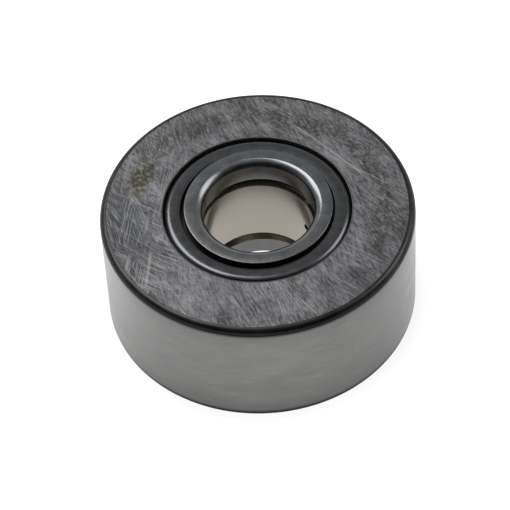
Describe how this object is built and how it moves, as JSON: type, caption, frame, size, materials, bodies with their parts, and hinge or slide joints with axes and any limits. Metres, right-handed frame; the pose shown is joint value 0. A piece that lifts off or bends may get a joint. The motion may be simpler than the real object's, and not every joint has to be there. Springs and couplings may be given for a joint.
{
  "type": "cam follower",
  "caption": "Yoke type cam follower: a thick outer ring on full rows of cylindrical rollers, with collared side plates and pressed seal rings around a plain bore.",
  "frame": {"origin": "centre of the whole follower, half way along its bore", "axes": "+Z along the bore; the follower is the same from both ends"},
  "size_m": [0.042, 0.042, 0.019],
  "materials": {
    "outer_ring_steel": "hardened bearing steel, ground tread, finely scratched side faces",
    "inner_ring_steel": "hardened bearing steel, ground and honed",
    "side_plate_steel": "turned steel, satin blue-grey",
    "seal_ring_steel": "pressed sheet steel, dark satin",
    "roller_steel": "bearing steel, ground and polished"
  },
  "bodies": {
    "inner_ring_assembly": {"inner_ring": "inner_ring_steel", "upper_side_plate": "side_plate_steel", "lower_side_plate": "side_plate_steel"},
    "outer_ring_assembly": {"outer_ring": "outer_ring_steel", "upper_seal_ring": "seal_ring_steel", "lower_seal_ring": "seal_ring_steel"},
    "upper_roller_01": {"upper_roller_01": "roller_steel"},
    "upper_roller_02": {"upper_roller_02": "roller_steel"},
    "upper_roller_03": {"upper_roller_03": "roller_steel"},
    "upper_roller_04": {"upper_roller_04": "roller_steel"},
    "upper_roller_05": {"upper_roller_05": "roller_steel"},
    "upper_roller_06": {"upper_roller_06": "roller_steel"},
    "upper_roller_07": {"upper_roller_07": "roller_steel"},
    "upper_roller_08": {"upper_roller_08": "roller_steel"},
    "upper_roller_09": {"upper_roller_09": "roller_steel"},
    "upper_roller_10": {"upper_roller_10": "roller_steel"},
    "upper_roller_11": {"upper_roller_11": "roller_steel"},
    "upper_roller_12": {"upper_roller_12": "roller_steel"},
    "upper_roller_13": {"upper_roller_13": "roller_steel"},
    "upper_roller_14": {"upper_roller_14": "roller_steel"},
    "upper_roller_15": {"upper_roller_15": "roller_steel"},
    "upper_roller_16": {"upper_roller_16": "roller_steel"},
    "upper_roller_17": {"upper_roller_17": "roller_steel"},
    "upper_roller_18": {"upper_roller_18": "roller_steel"},
    "upper_roller_19": {"upper_roller_19": "roller_steel"},
    "lower_roller_01": {"lower_roller_01": "roller_steel"},
    "lower_roller_02": {"lower_roller_02": "roller_steel"},
    "lower_roller_03": {"lower_roller_03": "roller_steel"},
    "lower_roller_04": {"lower_roller_04": "roller_steel"},
    "lower_roller_05": {"lower_roller_05": "roller_steel"},
    "lower_roller_06": {"lower_roller_06": "roller_steel"},
    "lower_roller_07": {"lower_roller_07": "roller_steel"},
    "lower_roller_08": {"lower_roller_08": "roller_steel"},
    "lower_roller_09": {"lower_roller_09": "roller_steel"},
    "lower_roller_10": {"lower_roller_10": "roller_steel"},
    "lower_roller_11": {"lower_roller_11": "roller_steel"},
    "lower_roller_12": {"lower_roller_12": "roller_steel"},
    "lower_roller_13": {"lower_roller_13": "roller_steel"},
    "lower_roller_14": {"lower_roller_14": "roller_steel"},
    "lower_roller_15": {"lower_roller_15": "roller_steel"},
    "lower_roller_16": {"lower_roller_16": "roller_steel"},
    "lower_roller_17": {"lower_roller_17": "roller_steel"},
    "lower_roller_18": {"lower_roller_18": "roller_steel"},
    "lower_roller_19": {"lower_roller_19": "roller_steel"}
  },
  "joints": [
    {"name": "outer_ring_spin", "type": "hinge", "parent": "inner_ring_assembly", "child": "outer_ring_assembly", "pos_m": [0, 0, 0], "axis": [0, 0, 1], "continuous": true},
    {"name": "upper_row_orbit", "type": "hinge", "parent": "inner_ring_assembly", "child": "upper_roller_01", "pos_m": [0, 0, 0], "axis": [0, 0, 1], "continuous": true},
    {"name": "upper_roller_02_spin", "type": "hinge", "parent": "upper_roller_01", "child": "upper_roller_02", "pos_m": [0.01154, 0.00396, 0.00275], "axis": [0, 0, 1], "continuous": true},
    {"name": "upper_roller_03_spin", "type": "hinge", "parent": "upper_roller_01", "child": "upper_roller_03", "pos_m": [0.00963, 0.00749, 0.00275], "axis": [0, 0, 1], "continuous": true},
    {"name": "upper_roller_04_spin", "type": "hinge", "parent": "upper_roller_01", "child": "upper_roller_04", "pos_m": [0.00667, 0.01021, 0.00275], "axis": [0, 0, 1], "continuous": true},
    {"name": "upper_roller_05_spin", "type": "hinge", "parent": "upper_roller_01", "child": "upper_roller_05", "pos_m": [0.00299, 0.01183, 0.00275], "axis": [0, 0, 1], "continuous": true},
    {"name": "upper_roller_06_spin", "type": "hinge", "parent": "upper_roller_01", "child": "upper_roller_06", "pos_m": [-0.00101, 0.01216, 0.00275], "axis": [0, 0, 1], "continuous": true},
    {"name": "upper_roller_07_spin", "type": "hinge", "parent": "upper_roller_01", "child": "upper_roller_07", "pos_m": [-0.0049, 0.01117, 0.00275], "axis": [0, 0, 1], "continuous": true},
    {"name": "upper_roller_08_spin", "type": "hinge", "parent": "upper_roller_01", "child": "upper_roller_08", "pos_m": [-0.00826, 0.00898, 0.00275], "axis": [0, 0, 1], "continuous": true},
    {"name": "upper_roller_09_spin", "type": "hinge", "parent": "upper_roller_01", "child": "upper_roller_09", "pos_m": [-0.01073, 0.00581, 0.00275], "axis": [0, 0, 1], "continuous": true},
    {"name": "upper_roller_10_spin", "type": "hinge", "parent": "upper_roller_01", "child": "upper_roller_10", "pos_m": [-0.01203, 0.00201, 0.00275], "axis": [0, 0, 1], "continuous": true},
    {"name": "upper_roller_11_spin", "type": "hinge", "parent": "upper_roller_01", "child": "upper_roller_11", "pos_m": [-0.01203, -0.00201, 0.00275], "axis": [0, 0, 1], "continuous": true},
    {"name": "upper_roller_12_spin", "type": "hinge", "parent": "upper_roller_01", "child": "upper_roller_12", "pos_m": [-0.01073, -0.00581, 0.00275], "axis": [0, 0, 1], "continuous": true},
    {"name": "upper_roller_13_spin", "type": "hinge", "parent": "upper_roller_01", "child": "upper_roller_13", "pos_m": [-0.00826, -0.00898, 0.00275], "axis": [0, 0, 1], "continuous": true},
    {"name": "upper_roller_14_spin", "type": "hinge", "parent": "upper_roller_01", "child": "upper_roller_14", "pos_m": [-0.0049, -0.01117, 0.00275], "axis": [0, 0, 1], "continuous": true},
    {"name": "upper_roller_15_spin", "type": "hinge", "parent": "upper_roller_01", "child": "upper_roller_15", "pos_m": [-0.00101, -0.01216, 0.00275], "axis": [0, 0, 1], "continuous": true},
    {"name": "upper_roller_16_spin", "type": "hinge", "parent": "upper_roller_01", "child": "upper_roller_16", "pos_m": [0.00299, -0.01183, 0.00275], "axis": [0, 0, 1], "continuous": true},
    {"name": "upper_roller_17_spin", "type": "hinge", "parent": "upper_roller_01", "child": "upper_roller_17", "pos_m": [0.00667, -0.01021, 0.00275], "axis": [0, 0, 1], "continuous": true},
    {"name": "upper_roller_18_spin", "type": "hinge", "parent": "upper_roller_01", "child": "upper_roller_18", "pos_m": [0.00963, -0.00749, 0.00275], "axis": [0, 0, 1], "continuous": true},
    {"name": "upper_roller_19_spin", "type": "hinge", "parent": "upper_roller_01", "child": "upper_roller_19", "pos_m": [0.01154, -0.00396, 0.00275], "axis": [0, 0, 1], "continuous": true},
    {"name": "lower_row_orbit", "type": "hinge", "parent": "inner_ring_assembly", "child": "lower_roller_01", "pos_m": [0, 0, 0], "axis": [0, 0, 1], "continuous": true},
    {"name": "lower_roller_02_spin", "type": "hinge", "parent": "lower_roller_01", "child": "lower_roller_02", "pos_m": [0.01073, 0.00581, -0.00275], "axis": [0, 0, 1], "continuous": true},
    {"name": "lower_roller_03_spin", "type": "hinge", "parent": "lower_roller_01", "child": "lower_roller_03", "pos_m": [0.00826, 0.00898, -0.00275], "axis": [0, 0, 1], "continuous": true},
    {"name": "lower_roller_04_spin", "type": "hinge", "parent": "lower_roller_01", "child": "lower_roller_04", "pos_m": [0.0049, 0.01117, -0.00275], "axis": [0, 0, 1], "continuous": true},
    {"name": "lower_roller_05_spin", "type": "hinge", "parent": "lower_roller_01", "child": "lower_roller_05", "pos_m": [0.00101, 0.01216, -0.00275], "axis": [0, 0, 1], "continuous": true},
    {"name": "lower_roller_06_spin", "type": "hinge", "parent": "lower_roller_01", "child": "lower_roller_06", "pos_m": [-0.00299, 0.01183, -0.00275], "axis": [0, 0, 1], "continuous": true},
    {"name": "lower_roller_07_spin", "type": "hinge", "parent": "lower_roller_01", "child": "lower_roller_07", "pos_m": [-0.00667, 0.01021, -0.00275], "axis": [0, 0, 1], "continuous": true},
    {"name": "lower_roller_08_spin", "type": "hinge", "parent": "lower_roller_01", "child": "lower_roller_08", "pos_m": [-0.00963, 0.00749, -0.00275], "axis": [0, 0, 1], "continuous": true},
    {"name": "lower_roller_09_spin", "type": "hinge", "parent": "lower_roller_01", "child": "lower_roller_09", "pos_m": [-0.01154, 0.00396, -0.00275], "axis": [0, 0, 1], "continuous": true},
    {"name": "lower_roller_10_spin", "type": "hinge", "parent": "lower_roller_01", "child": "lower_roller_10", "pos_m": [-0.0122, 0, -0.00275], "axis": [0, 0, 1], "continuous": true},
    {"name": "lower_roller_11_spin", "type": "hinge", "parent": "lower_roller_01", "child": "lower_roller_11", "pos_m": [-0.01154, -0.00396, -0.00275], "axis": [0, 0, 1], "continuous": true},
    {"name": "lower_roller_12_spin", "type": "hinge", "parent": "lower_roller_01", "child": "lower_roller_12", "pos_m": [-0.00963, -0.00749, -0.00275], "axis": [0, 0, 1], "continuous": true},
    {"name": "lower_roller_13_spin", "type": "hinge", "parent": "lower_roller_01", "child": "lower_roller_13", "pos_m": [-0.00667, -0.01021, -0.00275], "axis": [0, 0, 1], "continuous": true},
    {"name": "lower_roller_14_spin", "type": "hinge", "parent": "lower_roller_01", "child": "lower_roller_14", "pos_m": [-0.00299, -0.01183, -0.00275], "axis": [0, 0, 1], "continuous": true},
    {"name": "lower_roller_15_spin", "type": "hinge", "parent": "lower_roller_01", "child": "lower_roller_15", "pos_m": [0.00101, -0.01216, -0.00275], "axis": [0, 0, 1], "continuous": true},
    {"name": "lower_roller_16_spin", "type": "hinge", "parent": "lower_roller_01", "child": "lower_roller_16", "pos_m": [0.0049, -0.01117, -0.00275], "axis": [0, 0, 1], "continuous": true},
    {"name": "lower_roller_17_spin", "type": "hinge", "parent": "lower_roller_01", "child": "lower_roller_17", "pos_m": [0.00826, -0.00898, -0.00275], "axis": [0, 0, 1], "continuous": true},
    {"name": "lower_roller_18_spin", "type": "hinge", "parent": "lower_roller_01", "child": "lower_roller_18", "pos_m": [0.01073, -0.00581, -0.00275], "axis": [0, 0, 1], "continuous": true},
    {"name": "lower_roller_19_spin", "type": "hinge", "parent": "lower_roller_01", "child": "lower_roller_19", "pos_m": [0.01203, -0.00201, -0.00275], "axis": [0, 0, 1], "continuous": true}
  ],
  "couplings": [
    {"joint": "upper_row_orbit", "follows": "outer_ring_spin", "ratio": 0.58197},
    {"joint": "upper_roller_02_spin", "follows": "outer_ring_spin", "ratio": 2.968},
    {"joint": "upper_roller_03_spin", "follows": "outer_ring_spin", "ratio": 2.968},
    {"joint": "upper_roller_04_spin", "follows": "outer_ring_spin", "ratio": 2.968},
    {"joint": "upper_roller_05_spin", "follows": "outer_ring_spin", "ratio": 2.968},
    {"joint": "upper_roller_06_spin", "follows": "outer_ring_spin", "ratio": 2.968},
    {"joint": "upper_roller_07_spin", "follows": "outer_ring_spin", "ratio": 2.968},
    {"joint": "upper_roller_08_spin", "follows": "outer_ring_spin", "ratio": 2.968},
    {"joint": "upper_roller_09_spin", "follows": "outer_ring_spin", "ratio": 2.968},
    {"joint": "upper_roller_10_spin", "follows": "outer_ring_spin", "ratio": 2.968},
    {"joint": "upper_roller_11_spin", "follows": "outer_ring_spin", "ratio": 2.968},
    {"joint": "upper_roller_12_spin", "follows": "outer_ring_spin", "ratio": 2.968},
    {"joint": "upper_roller_13_spin", "follows": "outer_ring_spin", "ratio": 2.968},
    {"joint": "upper_roller_14_spin", "follows": "outer_ring_spin", "ratio": 2.968},
    {"joint": "upper_roller_15_spin", "follows": "outer_ring_spin", "ratio": 2.968},
    {"joint": "upper_roller_16_spin", "follows": "outer_ring_spin", "ratio": 2.968},
    {"joint": "upper_roller_17_spin", "follows": "outer_ring_spin", "ratio": 2.968},
    {"joint": "upper_roller_18_spin", "follows": "outer_ring_spin", "ratio": 2.968},
    {"joint": "upper_roller_19_spin", "follows": "outer_ring_spin", "ratio": 2.968},
    {"joint": "lower_row_orbit", "follows": "outer_ring_spin", "ratio": 0.58197},
    {"joint": "lower_roller_02_spin", "follows": "outer_ring_spin", "ratio": 2.968},
    {"joint": "lower_roller_03_spin", "follows": "outer_ring_spin", "ratio": 2.968},
    {"joint": "lower_roller_04_spin", "follows": "outer_ring_spin", "ratio": 2.968},
    {"joint": "lower_roller_05_spin", "follows": "outer_ring_spin", "ratio": 2.968},
    {"joint": "lower_roller_06_spin", "follows": "outer_ring_spin", "ratio": 2.968},
    {"joint": "lower_roller_07_spin", "follows": "outer_ring_spin", "ratio": 2.968},
    {"joint": "lower_roller_08_spin", "follows": "outer_ring_spin", "ratio": 2.968},
    {"joint": "lower_roller_09_spin", "follows": "outer_ring_spin", "ratio": 2.968},
    {"joint": "lower_roller_10_spin", "follows": "outer_ring_spin", "ratio": 2.968},
    {"joint": "lower_roller_11_spin", "follows": "outer_ring_spin", "ratio": 2.968},
    {"joint": "lower_roller_12_spin", "follows": "outer_ring_spin", "ratio": 2.968},
    {"joint": "lower_roller_13_spin", "follows": "outer_ring_spin", "ratio": 2.968},
    {"joint": "lower_roller_14_spin", "follows": "outer_ring_spin", "ratio": 2.968},
    {"joint": "lower_roller_15_spin", "follows": "outer_ring_spin", "ratio": 2.968},
    {"joint": "lower_roller_16_spin", "follows": "outer_ring_spin", "ratio": 2.968},
    {"joint": "lower_roller_17_spin", "follows": "outer_ring_spin", "ratio": 2.968},
    {"joint": "lower_roller_18_spin", "follows": "outer_ring_spin", "ratio": 2.968},
    {"joint": "lower_roller_19_spin", "follows": "outer_ring_spin", "ratio": 2.968}
  ]
}
